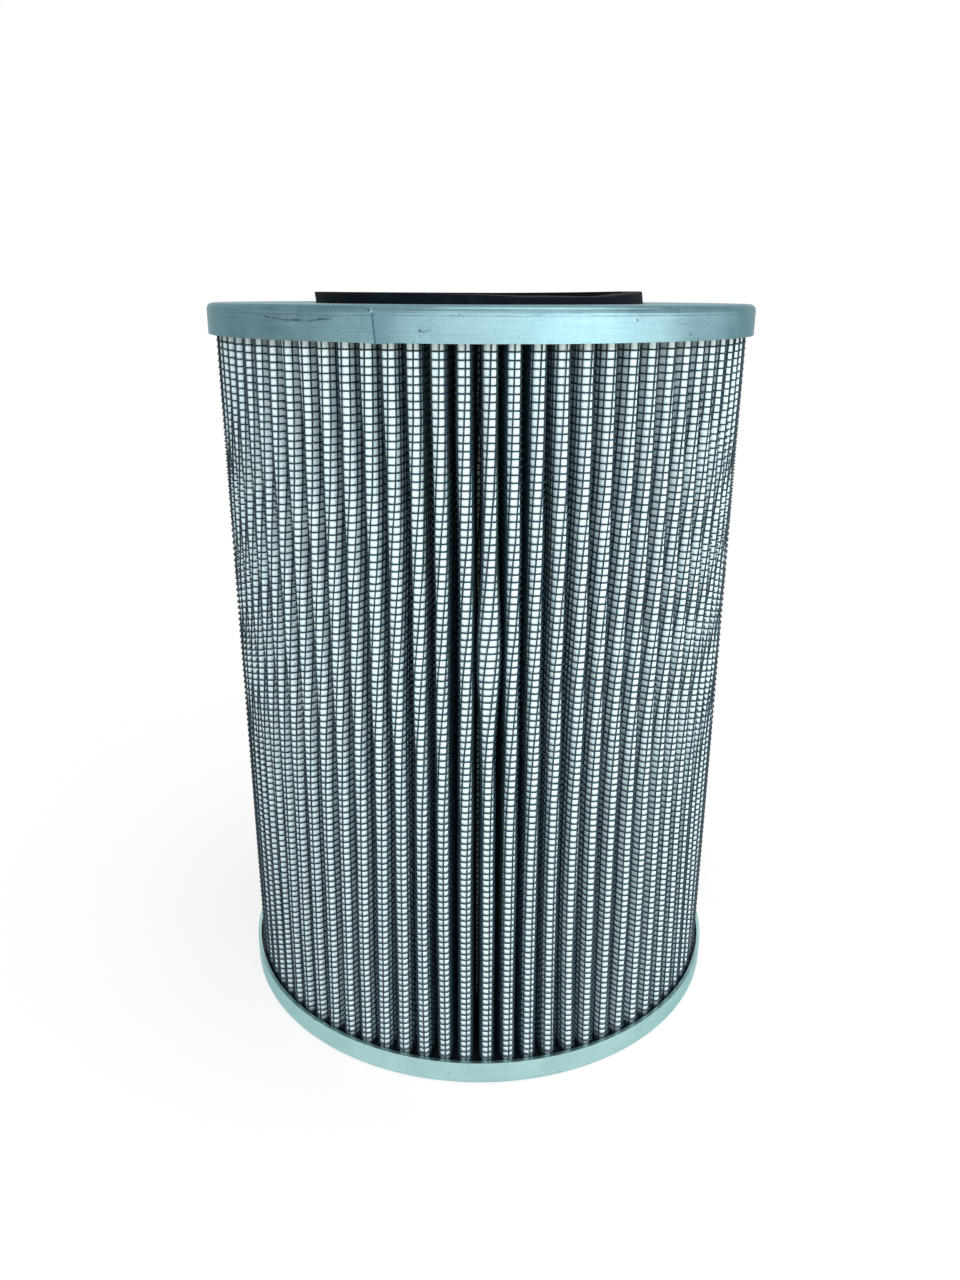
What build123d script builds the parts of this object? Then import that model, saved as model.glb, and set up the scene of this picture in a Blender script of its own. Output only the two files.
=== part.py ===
from build123d import *

import math
import os

# Pleated filter element: a wire-backed pleated web round a slotted core tube, set in adhesive
# between two pressed end caps, with a rubber ring that seals the outlet end.
# Millimetres. The element stands on the lower cap: +Z is its axis, and the origin is the centre
# of its foot.

# Overall sizes
CAP_DIAMETER = 120.0
ELEMENT_HEIGHT = 164.5  # foot of the lower cap to the flat of the upper cap

# Pressed end caps
CAP_SHEET = 0.8
CAP_CORNER = 1.5  # outside radius of the corner between face and rim
TOP_RIM_HEIGHT = 6.2
BOTTOM_RIM_HEIGHT = 5.9
CHANNEL_DEPTH = 3.0  # seal channel, below the upper cap's flat
COLLAR_DROP = 0.6  # top of the outlet collar, below the upper cap's flat
BOSS_HEIGHT = 3.0  # middle of the lower cap, pressed up inside the core tube

# Shallow knock in the upper cap's rim: a flat with one crisp side
KNOCK_ANGLE = -106.8
KNOCK_WIDTH = 3.2
KNOCK_DEPTH = 0.15

# Rubber seal
SEAL_INNER_DIAMETER = 64.2
SEAL_WIDTH = 4.25
SEAL_STAND_OFF = 2.0  # how far the ring stands above the upper cap's flat
SEAL_PLAY = 0.3  # ring to the outlet collar, and ring to the channel's outer wall

# Core tube
CORE_STEP_BACK = 1.1  # the tube's bore outside the seal's bore, so that it ends under the channel
CORE_WALL = 0.8
CORE_BOSS_PLAY = 0.3  # tube to the lower cap's boss
SLOT_WIDTH = 6.0
SLOT_HEIGHT = 16.0
SLOT_COLUMNS = 14
SLOT_ROW_GAP = 6.0  # metal between one row of slots and the next
CORE_END_BAND = 7.0  # least plain band at each end of the tube

# Pleated pack: every fold is a fin of one thickness, with its crest outwards
PLEAT_COUNT = 80
FIRST_FOLD_ANGLE = -88.4
CREST_PLAY = 0.9  # crests to the inside of the cap rims
PACK_CORE_PLAY = 0.3  # inner bends to the core tube
OUTER_MESH_THICKNESS = 0.36
MEDIA_THICKNESS = 0.42
INNER_MESH_THICKNESS = 0.28
FOLD_GAP = 0.18  # clean side of a fold, between its two legs
CREST_ROUNDING = 0.62  # bevel on the outside of a crest, as a share of the fold's half thickness

# Adhesive
TOP_POTTING_UNDER_CHANNEL = 0.6  # adhesive between the seal channel and the ends of the folds
BOTTOM_POTTING_UNDER_PACK = 1.2  # adhesive under the lower ends of the folds
FOLD_SINK = 1.4  # depth of the folds' lower ends in the adhesive
POTTING_OVERRUN = CAP_SHEET / 4  # its outline runs this far into the sheet, and is cut back to it
SEAM_WIDTH = 0.7
SEAM_DEPTH = 1.9
SEAM_PROUD = 0.25

# Worked out from the sizes above
CAP_RADIUS = CAP_DIAMETER / 2
RIM_BORE_RADIUS = CAP_RADIUS - CAP_SHEET
SEAL_BORE_RADIUS = SEAL_INNER_DIAMETER / 2
SEAL_RADIUS = SEAL_BORE_RADIUS + SEAL_WIDTH
COLLAR_RADIUS = SEAL_BORE_RADIUS - SEAL_PLAY
CHANNEL_RADIUS = SEAL_RADIUS + SEAL_PLAY
CORE_BORE_RADIUS = SEAL_BORE_RADIUS + CORE_STEP_BACK
CORE_RADIUS = CORE_BORE_RADIUS + CORE_WALL
BOSS_RADIUS = CORE_BORE_RADIUS - CORE_BOSS_PLAY
CHANNEL_FLOOR = ELEMENT_HEIGHT - CHANNEL_DEPTH
CHANNEL_UNDERSIDE = CHANNEL_FLOOR - CAP_SHEET
CREST_RADIUS = RIM_BORE_RADIUS - CREST_PLAY
WEB_THICKNESS = OUTER_MESH_THICKNESS + MEDIA_THICKNESS + INNER_MESH_THICKNESS
FOLD_HALF = WEB_THICKNESS + FOLD_GAP / 2
BEND_RADIUS = CORE_RADIUS + PACK_CORE_PLAY  # innermost face of the folds
PACK_BOTTOM = CAP_SHEET + BOTTOM_POTTING_UNDER_PACK
PACK_TOP = CHANNEL_UNDERSIDE - TOP_POTTING_UNDER_CHANNEL
SEAM_FOLD = PLEAT_COUNT // 2  # the fold opposite the first


def ring(section):
    """Turn a section drawn as (radius, height) into a ring round the axis."""
    return revolve(Plane.XZ * section, Axis.Z)


def pressed_section(corners, side):
    """Section of a pressed sheet: one face follows the corners, the other lies a sheet away.

    The rim's corner is drawn to its radius, and the coined bends nearer the middle are square.
    """
    square_bends = [0] * (len(corners) - 3)
    face_line = FilletPolyline(*corners, radius=[CAP_CORNER, *square_bends])
    return make_face(face_line.offset_2d(CAP_SHEET, kind=Kind.INTERSECTION, side=side).edges())


def polar(radius, degrees):
    return (radius * math.cos(math.radians(degrees)), radius * math.sin(math.radians(degrees)))


def web_outline(depth, bevelled):
    """Outline of the whole pleated web at a depth below its dirty face, as one closed face."""
    half = FOLD_HALF - depth
    crest = CREST_RADIUS - depth
    bend = BEND_RADIUS + WEB_THICKNESS - depth
    foot = math.sqrt(bend**2 - half**2)
    bevel = CREST_ROUNDING * half if bevelled else 0
    leg = [(-half, foot), (-half, crest - bevel)]
    fold = leg + ([(bevel - half, crest), (half - bevel, crest)] if bevelled else [])
    fold += [(-x, y) for x, y in reversed(leg)]
    points = []
    for index in range(PLEAT_COUNT):
        turn = math.radians(FIRST_FOLD_ANGLE - 90 - 360 * index / PLEAT_COUNT)
        points += [
            (x * math.cos(turn) - y * math.sin(turn), x * math.sin(turn) + y * math.cos(turn))
            for x, y in fold
        ]
    return make_face(Polyline(*points, close=True))


def seam_section(width, depth, proud):
    """Strip across the crest of the seam's fold, where the two ends of the web meet."""
    angle = FIRST_FOLD_ANGLE - 360 * SEAM_FOLD / PLEAT_COUNT
    middle = CREST_RADIUS + (proud - depth) / 2
    place = Location((*polar(middle, angle), 0), (0, 0, angle))
    return place * Rectangle(depth + proud, width)


def web_layer(near, far, near_bevelled, far_bevelled):
    """One layer of the web between two depths, open where the seam joins its ends."""
    section = web_outline(near, near_bevelled) - web_outline(far, far_bevelled)
    section -= seam_section(SEAM_WIDTH, SEAM_DEPTH, SEAM_DEPTH)
    return Pos(0, 0, PACK_BOTTOM) * extrude(section, PACK_TOP - PACK_BOTTOM)


def top_cap_section():
    corners = [
        (CAP_RADIUS, ELEMENT_HEIGHT - TOP_RIM_HEIGHT),
        (CAP_RADIUS, ELEMENT_HEIGHT),
        (CHANNEL_RADIUS, ELEMENT_HEIGHT),
        (CHANNEL_RADIUS, CHANNEL_FLOOR),
        (COLLAR_RADIUS, CHANNEL_FLOOR),
        (COLLAR_RADIUS, ELEMENT_HEIGHT - COLLAR_DROP),
    ]
    return pressed_section(corners, Side.LEFT)


def bottom_cap_section():
    recess = BOSS_RADIUS - CAP_SHEET
    corners = [
        (CAP_RADIUS, BOTTOM_RIM_HEIGHT),
        (CAP_RADIUS, 0),
        (recess, 0),
        (recess, BOSS_HEIGHT),
        (0, BOSS_HEIGHT),
    ]
    return pressed_section(corners, Side.RIGHT)


def top_end_cap():
    """Upper cap: turned-down rim, seal channel and outlet collar in one pressing."""
    cap = ring(top_cap_section())
    turn = math.degrees(KNOCK_DEPTH / KNOCK_WIDTH)
    knock = Box(CAP_SHEET * 2, KNOCK_WIDTH, TOP_RIM_HEIGHT * 3, align=(Align.MIN, Align.CENTER, Align.CENTER))
    place = Location(
        (*polar(CAP_RADIUS - KNOCK_DEPTH / 2, KNOCK_ANGLE), ELEMENT_HEIGHT), (0, 0, KNOCK_ANGLE + turn)
    )
    return cap - place * knock


def bottom_end_cap():
    """Lower cap: closed, with a turned-up rim and a boss that centres the core tube."""
    return ring(bottom_cap_section())


def seal_ring():
    section = Pos(SEAL_BORE_RADIUS, CHANNEL_FLOOR) * Rectangle(
        SEAL_WIDTH, CHANNEL_DEPTH + SEAL_STAND_OFF, align=Align.MIN
    )
    return ring(section)


def core_tube():
    """Tube from the lower cap's floor to the seal channel, with slots in staggered rows."""
    length = CHANNEL_UNDERSIDE - CAP_SHEET
    base = Align.CENTER, Align.CENTER, Align.MIN
    tube = Cylinder(CORE_RADIUS, length, align=base) - Cylinder(CORE_BORE_RADIUS, length, align=base)
    pitch = SLOT_HEIGHT + SLOT_ROW_GAP
    rows = int((length - 2 * CORE_END_BAND + SLOT_ROW_GAP) // pitch)
    first = length / 2 - (rows - 1) * pitch / 2
    punch = Box(4 * CORE_WALL, SLOT_WIDTH, SLOT_HEIGHT)
    slots = []
    for row in range(rows):
        stagger = row % 2 * 180 / SLOT_COLUMNS
        for column in range(SLOT_COLUMNS):
            turn = Rot(0, 0, stagger + 360 * column / SLOT_COLUMNS)
            slots.append(turn * Pos(CORE_RADIUS, 0, first + row * pitch) * punch)
    return Pos(0, 0, CAP_SHEET) * (tube - slots)


def top_potting():
    """Adhesive that fills the upper cap round its channel, down to the ends of the folds."""
    rim = RIM_BORE_RADIUS + POTTING_OVERRUN
    flat = ELEMENT_HEIGHT - CAP_SHEET + POTTING_OVERRUN
    channel = CHANNEL_RADIUS + CAP_SHEET - POTTING_OVERRUN
    floor = CHANNEL_UNDERSIDE + POTTING_OVERRUN
    outline = Polyline(
        (CORE_RADIUS, PACK_TOP),
        (rim, PACK_TOP),
        (rim, flat),
        (channel, flat),
        (channel, floor),
        (CORE_RADIUS, floor),
        close=True,
    )
    return ring(make_face(outline) - top_cap_section())


def bottom_potting():
    """Adhesive in the lower cap, with the ends of the folds and of the seam sunk in it."""
    rim = RIM_BORE_RADIUS + POTTING_OVERRUN
    floor = CAP_SHEET - POTTING_OVERRUN
    outline = Polyline(
        (CORE_RADIUS, floor), (rim, floor), (rim, PACK_BOTTOM), (CORE_RADIUS, PACK_BOTTOM), close=True
    )
    bed = ring(make_face(outline) - bottom_cap_section())
    valleys = Circle(RIM_BORE_RADIUS) - web_outline(0, True)
    valleys -= seam_section(SEAM_WIDTH, SEAM_DEPTH, SEAM_PROUD)
    return bed + Pos(0, 0, PACK_BOTTOM) * extrude(valleys, FOLD_SINK)


def side_seam():
    """Bead of adhesive that bonds the two ends of the web along one fold."""
    section = seam_section(SEAM_WIDTH, SEAM_DEPTH, SEAM_PROUD)
    return Pos(0, 0, PACK_BOTTOM) * extrude(section, PACK_TOP - PACK_BOTTOM)


def outer_wire_mesh():
    """Coated wire mesh on the dirty side of the web."""
    return web_layer(0, OUTER_MESH_THICKNESS, True, True)


def filter_media():
    """Fibrous web that does the filtering."""
    return web_layer(OUTER_MESH_THICKNESS, OUTER_MESH_THICKNESS + MEDIA_THICKNESS, True, False)


def inner_wire_mesh():
    """Coated wire mesh on the clean side, which keeps a fold's two legs apart."""
    return web_layer(OUTER_MESH_THICKNESS + MEDIA_THICKNESS, WEB_THICKNESS, False, False)


PIECES = [
    top_end_cap,
    bottom_end_cap,
    seal_ring,
    core_tube,
    outer_wire_mesh,
    filter_media,
    inner_wire_mesh,
    top_potting,
    bottom_potting,
    side_seam,
]

os.makedirs("parts", exist_ok=True)
for piece in PIECES:
    export_step(piece(), f"parts/{piece.__name__}.step")
    print("wrote", piece.__name__)
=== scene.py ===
# %% [markdown]
# # A pleated filter element
# A strip of white fibre web, backed on both faces with coated wire mesh, is folded into eighty
# upright folds round a slotted tube. Adhesive sets its ends in two pressed metal caps, and a
# rubber ring seals the outlet on top. This script gives each of these pieces its looks, round
# the solid model that is loaded first and never moved.

# %% Load the solid model
import math

import bmesh
import bpy
from mathutils import Matrix, Vector, noise


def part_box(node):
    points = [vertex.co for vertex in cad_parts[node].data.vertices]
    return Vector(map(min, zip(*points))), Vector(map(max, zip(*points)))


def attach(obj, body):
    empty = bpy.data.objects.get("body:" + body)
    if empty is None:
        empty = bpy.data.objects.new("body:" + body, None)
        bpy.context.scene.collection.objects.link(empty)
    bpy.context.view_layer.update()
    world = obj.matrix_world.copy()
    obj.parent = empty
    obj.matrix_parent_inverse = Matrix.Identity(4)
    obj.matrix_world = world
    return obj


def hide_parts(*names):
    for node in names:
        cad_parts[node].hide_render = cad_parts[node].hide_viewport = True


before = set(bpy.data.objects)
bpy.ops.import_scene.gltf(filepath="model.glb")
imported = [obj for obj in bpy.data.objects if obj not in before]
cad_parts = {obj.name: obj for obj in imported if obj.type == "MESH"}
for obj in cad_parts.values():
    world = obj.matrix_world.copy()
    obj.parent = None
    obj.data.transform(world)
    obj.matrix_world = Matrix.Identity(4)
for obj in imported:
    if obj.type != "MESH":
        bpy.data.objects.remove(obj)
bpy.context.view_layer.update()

MM = 0.001
cap_low, cap_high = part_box("top_end_cap")
_, foot_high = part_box("bottom_end_cap")
seal_low, seal_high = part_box("seal_ring")
mesh_low, mesh_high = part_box("outer_wire_mesh")
_, core_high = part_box("core_tube")

CAP_RADIUS = (cap_high.x - cap_low.x) / 2
CAP_TOP = cap_high.z
print("cap radius", round(CAP_RADIUS / MM, 2), "mm, top at", round(CAP_TOP / MM, 2), "mm")

# %% [markdown]
# ## The camera
# The view is from the front, close to the element and level with its upper cap, and looks down
# on it. So near a lens makes the foot look clearly narrower than the top. The camera comes first,
# because it shows at once whether the rest stands in the right place.

# %% Place the camera
CAMERA_PLACE = Vector((1.8, -235.8, 166.3)) * MM
CAMERA_DOWN = math.radians(19.23)
CAMERA_TURN = math.radians(0.44)  # to the left
CAMERA_ROLL = math.radians(0.2)
CAMERA_SENSOR = 36  # mm across
CAMERA_LENS = 27.87  # mm, for that sensor
NEAREST_SEEN = 10 * MM


def put_in_scene(name, data):
    """A new object that shows this data."""
    shown = bpy.data.objects.new(name, data)
    bpy.context.scene.collection.objects.link(shown)
    return shown


camera_data = bpy.data.cameras.new("camera")
camera_data.lens = CAMERA_LENS
camera_data.sensor_width = CAMERA_SENSOR
camera_data.clip_start = NEAREST_SEEN
camera = put_in_scene("camera", camera_data)
camera.matrix_world = (
    Matrix.Translation(CAMERA_PLACE)
    @ Matrix.Rotation(CAMERA_TURN, 4, "Z")
    @ Matrix.Rotation(math.pi / 2 - CAMERA_DOWN, 4, "X")
    @ Matrix.Rotation(CAMERA_ROLL, 4, "Z")
)
bpy.context.scene.camera = camera
bpy.context.scene.view_settings.view_transform = "Standard"
print("camera", tuple(round(c, 3) for c in camera.location))

# %% [markdown]
# ## Shader maths as Python
# A material here is worked out from a few patterns. Value wraps one socket of a node, so that
# sums on it read as Python and each adds a Math node. Finish holds one material, and its node
# method adds any other node: settings first, and then the values or links of its sockets.

# %% A socket that takes part in sums
class Value:
    """One output socket. Operators on it add Math nodes."""

    def __init__(self, tree, socket):
        self.tree, self.socket = tree, socket

    def math(self, operation, *others, clamp=False):
        node = self.tree.nodes.new("ShaderNodeMath")
        node.operation, node.use_clamp = operation, clamp
        for slot, item in zip(node.inputs, (self, *others)):
            if isinstance(item, Value):
                self.tree.links.new(item.socket, slot)
            else:
                slot.default_value = item
        return Value(self.tree, node.outputs[0])

    def constant(self, number):
        node = self.tree.nodes.new("ShaderNodeValue")
        node.outputs[0].default_value = number
        return Value(self.tree, node.outputs[0])

    def __add__(self, other):
        return self.math("ADD", other)

    def __mul__(self, other):
        return self.math("MULTIPLY", other)

    def __sub__(self, other):
        return self.math("SUBTRACT", other)

    def __truediv__(self, other):
        return self.math("DIVIDE", other)

    def __rsub__(self, other):
        return self.constant(other) - self

    def __rtruediv__(self, other):
        return self.constant(other) / self

    def __lt__(self, other):
        return self.math("LESS_THAN", other)

    def __gt__(self, other):
        return self.math("GREATER_THAN", other)

    __radd__ = __add__
    __rmul__ = __mul__

    def clamped(self):
        """The same value, kept from 0 to 1."""
        return self.math("ADD", 0, clamp=True)

    def ramp(self, low, high):
        """0 below low, 1 above high, and even between, either way round."""
        return ((self - low) / (high - low)).clamped()

    def absolute(self):
        return self.math("ABSOLUTE")

    def larger(self, other):
        return self.math("MAXIMUM", other)


def hypotenuse(across, up):
    """How far away a point is, from how far it is across and up."""
    return (across * across + up * up).math("SQRT")


# %% A material and its nodes
class Finish:
    """One material, made of nodes."""

    def __init__(self, name):
        self.material = bpy.data.materials.new(name)
        self.material.use_nodes = True
        self.tree = self.material.node_tree
        self.shader = self.tree.nodes["Principled BSDF"]
        self.place = self.node("ShaderNodeTexCoord", output="Object")
        self.x, self.y, self.z = (
            self.node("ShaderNodeSeparateXYZ", None, {0: self.place}, output=axis) for axis in "XYZ"
        )
        print("material", name)

    def node(self, kind, settings=None, inputs=None, output=0):
        """Add a node: settings first, then its sockets by name or number."""
        node = self.tree.nodes.new(kind)
        for key, item in (settings or {}).items():
            setattr(node, key, item)
        for key, item in (inputs or {}).items():
            self.feed(node.inputs[key], item)
        return Value(self.tree, node.outputs[output])

    def feed(self, slot, item):
        if isinstance(item, Value):
            self.tree.links.new(item.socket, slot)
        elif isinstance(item, bpy.types.NodeSocket):
            self.tree.links.new(item, slot)
        elif isinstance(item, tuple) and len(item) == 3 and len(slot.default_value) == 4:
            slot.default_value = (*item, 1)
        else:
            slot.default_value = item

    def noise(self, scale, detail, stretch=(1, 1, 1)):
        """Noise with a grain of 1 / scale metres, drawn out along the axes that are squeezed."""
        place = self.place
        if stretch != (1, 1, 1):
            place = self.node("ShaderNodeMapping", None, {"Vector": self.place, "Scale": stretch})
        return self.node(
            "ShaderNodeTexNoise", None, {"Vector": place, "Scale": scale, "Detail": detail}
        )

    def mix(self, factor, low, high):
        """Colour low where factor is 0, and colour high where it is 1."""
        return self.node(
            "ShaderNodeMix", {"data_type": "RGBA"}, {0: factor, 6: low, 7: high}, output=2
        )

    def bump(self, height, distance, strength):
        return self.node(
            "ShaderNodeBump", None, {"Height": height, "Distance": distance, "Strength": strength}
        )

    def set(self, **sockets):
        """Feed the surface shader. Underscores stand for the spaces in a socket's name."""
        for key, item in sockets.items():
            self.feed(self.shader.inputs[key.replace("_", " ")], item)
        return self.material


# %% [markdown]
# ## Working by hand, from a script
# Every piece but the wires starts as a primitive and is shaped in edit mode. These few helpers
# do what a hand does between two operators: let go of everything, pick faces or edges by where
# they are, push points about, and close the piece off once it is done.

# %% Helpers for edit mode
def start(name):
    """The object that a primitive has just made, named, in edit mode, with nothing selected."""
    piece = bpy.context.active_object
    piece.name = piece.data.name = name
    bpy.ops.object.mode_set(mode="EDIT")
    bpy.ops.mesh.select_all(action="DESELECT")
    return piece


def pick(piece, kind, test):
    """Select the edges or faces whose every corner passes the test, and count them."""
    bpy.ops.mesh.select_mode(type="EDGE" if kind == "edges" else "FACE")
    bpy.ops.mesh.select_all(action="DESELECT")
    mesh = bmesh.from_edit_mesh(piece.data)
    count = 0
    for item in getattr(mesh, kind):
        if all(test(corner.co) for corner in item.verts):
            item.select_set(True)
            count += 1
    mesh.select_flush_mode()
    bmesh.update_edit_mesh(piece.data)
    return count


def pick_all_faces():
    bpy.ops.mesh.select_mode(type="FACE")
    bpy.ops.mesh.select_all(action="SELECT")


def near(value, target, reach=0.02 * MM):
    return abs(value - target) < reach


def radius(point):
    return math.hypot(point.x, point.y)


def azimuth(point):
    """Degrees round the axis from the front, positive towards +X."""
    return math.degrees(math.atan2(point.x, -point.y))


def extrude(rise):
    bpy.ops.mesh.extrude_region_move(TRANSFORM_OT_translate={"value": (0, 0, rise)})


def cut_level(height):
    """Cut the whole piece through at a height, so that it has a row of edges there."""
    bpy.ops.mesh.select_all(action="SELECT")
    bpy.ops.mesh.bisect(plane_co=(0, 0, height), plane_no=(0, 0, 1))


def move_points(piece, moved):
    """Put every point of the piece where moved(point) says."""
    mesh = bmesh.from_edit_mesh(piece.data)
    for vertex in mesh.verts:
        vertex.co = moved(vertex.co.copy())
    bmesh.update_edit_mesh(piece.data)


def wander(*place):
    """Smooth noise, from about -1 to 1, at a place given by three numbers."""
    return noise.noise(Vector(place))


def face_outwards():
    bpy.ops.mesh.select_all(action="SELECT")
    bpy.ops.mesh.normals_make_consistent(inside=False)


def thicken(piece, thickness, even=False):
    """Leave edit mode, and give a surface a thickness on its inner side."""
    bpy.ops.object.mode_set(mode="OBJECT")
    modifier = piece.modifiers.new("Solidify", "SOLIDIFY")
    modifier.thickness = thickness
    modifier.offset = -1
    modifier.use_even_offset = even
    bpy.ops.object.modifier_apply(modifier=modifier.name)


def finish_piece(piece, material, replaced=(), smooth=40):
    """Leave edit mode, shade the piece, give it its material and hand it to the frame."""
    bpy.ops.object.mode_set(mode="OBJECT")
    bpy.ops.object.select_all(action="DESELECT")
    piece.select_set(True)
    bpy.context.view_layer.objects.active = piece
    bpy.ops.object.shade_smooth_by_angle(angle=math.radians(smooth))
    piece.data.materials.clear()
    piece.data.materials.append(material)
    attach(piece, "root")
    if replaced:
        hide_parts(*replaced)
    piece.select_set(False)
    piece.data.calc_loop_triangles()
    print(piece.name, len(piece.data.loop_triangles), "triangles")
    return piece


bpy.ops.object.select_all(action="DESELECT")

# %% [markdown]
# ## The cap metal
# The caps are pressed from zinc-plated sheet: a cool, blue-grey, satin metal. Drawing the rim
# over the press tool leaves fine streaks that run round it, the plating is cloudy, and handling
# has left a few dark scuffs and specks. The upper cap's plating is painted darker than the lower
# cap's, as painted shade, and has marks of its own that are laid on by place: a dark line of
# painted shade where the tool's edge stopped, painted shade on the knock, and scratches that run
# along the rim.

# %% Zinc-plated sheet
def plated_metal(name, dark, pale, worn, marks=None):
    finish = Finish(name)
    round_rim = finish.x.math("ARCTAN2", finish.y) * (CAP_RADIUS / MM)
    off_axis = hypotenuse(finish.x, finish.y)
    flow = finish.node(
        "ShaderNodeCombineXYZ", None, {0: round_rim * 0.05, 1: (finish.z + off_axis) * 5000}
    )
    streaks = finish.node(
        "ShaderNodeTexNoise",
        {"noise_dimensions": "2D"},
        {"Vector": flow, "Scale": 1.0, "Detail": 3.0},
    )
    clouds = finish.noise(160, 3.0)
    grain = finish.noise(2500, 2.0)
    tone = (streaks - 0.5) * 0.5 + (clouds - 0.5) * 0.6 + (grain - 0.5) * 0.4
    colour = finish.mix((tone + 0.5).clamped(), dark, pale)
    specks_and_shade = finish.noise(420, 4.0).ramp(0.68, 0.72) * finish.noise(90, 1.0).ramp(0.5, 0.58) * worn
    if marks:
        colour, specks_and_shade = marks(finish, colour, specks_and_shade)
    # the scuffs, specks and scratches, and on the upper rim the witness line's painted shade,
    # darken the metal
    colour = finish.mix(specks_and_shade, colour, (0.02, 0.035, 0.05))
    height = streaks * 0.5 + grain * 0.3 + clouds * 0.6
    return finish.set(
        Base_Color=colour,
        Metallic=(1 - specks_and_shade * 0.7),
        Specular_Tint=(0.56, 0.7, 0.73),
        Roughness=(streaks - 0.5) * 0.1 + (clouds - 0.5) * 0.12 + 0.33,
        Normal=finish.bump(height, 0.02 * MM, 0.6),
    )


def rim_marks(finish, colour, specks_and_shade):
    """The marks that the upper rim has of its own, by degrees from the front and by height:
    scratches, specks, and painted shade along the witness line and on the knock.
    """
    angle = finish.x.math("ARCTAN2", finish.y * -1) * math.degrees(1)
    wobble = finish.noise(350, 2.0) - 0.5
    specks_and_shade = specks_and_shade * finish.y.ramp(-30 * MM, 0)  # the front has none but those listed below
    patchy = finish.noise(330, 2.0).ramp(0.42, 0.56) * 0.65 + 0.2
    for left, right, drop, rise, wave, width in RIM_SCRATCHES:
        aside = angle - (left + right) / 2
        half = (right - left) / 2
        line = aside * (rise * MM) + wobble * (wave * MM) + (CAP_TOP - drop * MM)
        across = (finish.z - line).absolute().ramp(width * MM, width * MM * 0.4)
        along = aside.absolute().ramp(half, half - SCRATCH_FADE)
        specks_and_shade = specks_and_shade.larger(across * along * patchy)
    for at, drop, size in RIM_SPOTS:
        away = hypotenuse((angle - at) * math.radians(CAP_RADIUS), finish.z - (CAP_TOP - drop * MM))
        specks_and_shade = specks_and_shade.larger((away + wobble * SPOT_WOBBLE).ramp(size * MM, size * MM * 0.5))
    # painted shade: a broken dark line along the pressed witness line, off the knock
    off_line = (finish.z - (CAP_TOP - WITNESS_DROP)).absolute()
    line = off_line.ramp(WITNESS_WIDTH * 0.75, WITNESS_WIDTH * 0.35)
    on_knock = knock_mask(finish, angle)
    breaks = finish.noise(220, 3.0).ramp(0.35, 0.62)
    specks_and_shade = specks_and_shade.larger(line * (1 - on_knock) * (breaks * 0.32 + 0.18))
    # painted shade: the knock's flat is darkened, as a dent turned away from the glint would be
    return finish.mix(on_knock * 0.42, colour, (0.11, 0.19, 0.25)), specks_and_shade


def knock_mask(finish, angle):
    """1 on the knock's flat, which narrows on its way down the rim, and 0 off it."""
    down = (CAP_TOP - finish.z) / (CAP_TOP - RIM_FOOT)
    left = (angle - (down * KNOCK_NARROWS_LEFT + KNOCK_LEFT)).ramp(0, 0.25)
    right = (angle - (down * -KNOCK_NARROWS_RIGHT + KNOCK_RIGHT)).ramp(0.3, -0.6)
    return left * right * finish.z.ramp(CAP_TOP - 0.2 * MM, CAP_TOP - 0.9 * MM)


# %% Sizes of the rim's marks
RIM_FOOT = cap_low.z
WITNESS_DROP = 1.65 * MM  # the press tool's line, below the cap's flat
WITNESS_WIDTH = 0.18 * MM
WITNESS_DEPTH = 0.05 * MM
KNOCK_LEFT, KNOCK_RIGHT = -18.1, -14.4  # degrees from the front, at the top of the rim
KNOCK_NARROWS_LEFT, KNOCK_NARROWS_RIGHT = 0.6, 1.1  # degrees, on its way down the rim
KNOCK_FIRST, KNOCK_SECOND, KNOCK_LAST = -18.5, -18, -13.5  # the columns it draws aside
KNOCK_DEPTH = 0.3 * MM
KNOCK_GROWS = 0.25  # share of the rim's height over which it grows to that depth
KNOCK_OVERLAP = 0.8  # degrees from its right side on to its last column
CREASE_WIDTH = 0.1  # degrees between the columns on the two sides of the crease
COLUMN_SLACK = 0.1  # degrees within which a column is the one that is meant
SCRATCH_FADE = 0.8  # degrees over which a scratch's ends fade
SPOT_WOBBLE = 0.2 * MM

# each scratch: from and to in degrees, mm under the flat, mm of rise a degree, mm of wander, and
# mm from its middle to its edge
RIM_SCRATCHES = (
    (-41.5, -35.4, 2.35, -0.13, 0.5, 0.22),
    (-36.6, -29.8, 2.66, -0.01, 0.5, 0.26),
    (-31, -25, 2.5, 0.07, 0.5, 0.24),
    (-9.8, -8.1, 4.12, 0.03, 1.6, 0.16),
    (15, 18.2, 1.13, -0.06, 0.3, 0.08),
    (36.2, 39.3, 3.2, 0, 0.3, 0.08),
    (-33, -21, 1.9, 0, 0.2, 0.06),
)
# each spot: degrees, mm under the flat, mm of radius
RIM_SPOTS = (
    (-18.4, 0.85, 0.3), (-21.6, 0.9, 0.16), (-22.3, 2.3, 0.16), (-9.7, 0.3, 0.14),
    (-3.1, 1.36, 0.17), (-4.2, 2, 0.12), (-9.6, 4.1, 0.27), (-8.1, 4.05, 0.2),
    (-0.6, 4.2, 0.1), (6.6, 5.1, 0.13), (27.6, 2.4, 0.26), (40.1, 5, 0.26),
    (42.3, 5.9, 0.24), (31.3, 0.7, 0.14), (28.3, 0.3, 0.15), (33.1, 0.4, 0.18),
    (34, 0.33, 0.2), (34.8, 0.42, 0.16), (36, 0.66, 0.15), (36.9, 0.64, 0.16),
    (55.5, 1.2, 0.26), (52.3, 1.8, 0.24), (51, 2.3, 0.13), (17.6, 0.2, 0.12),
)

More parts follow.
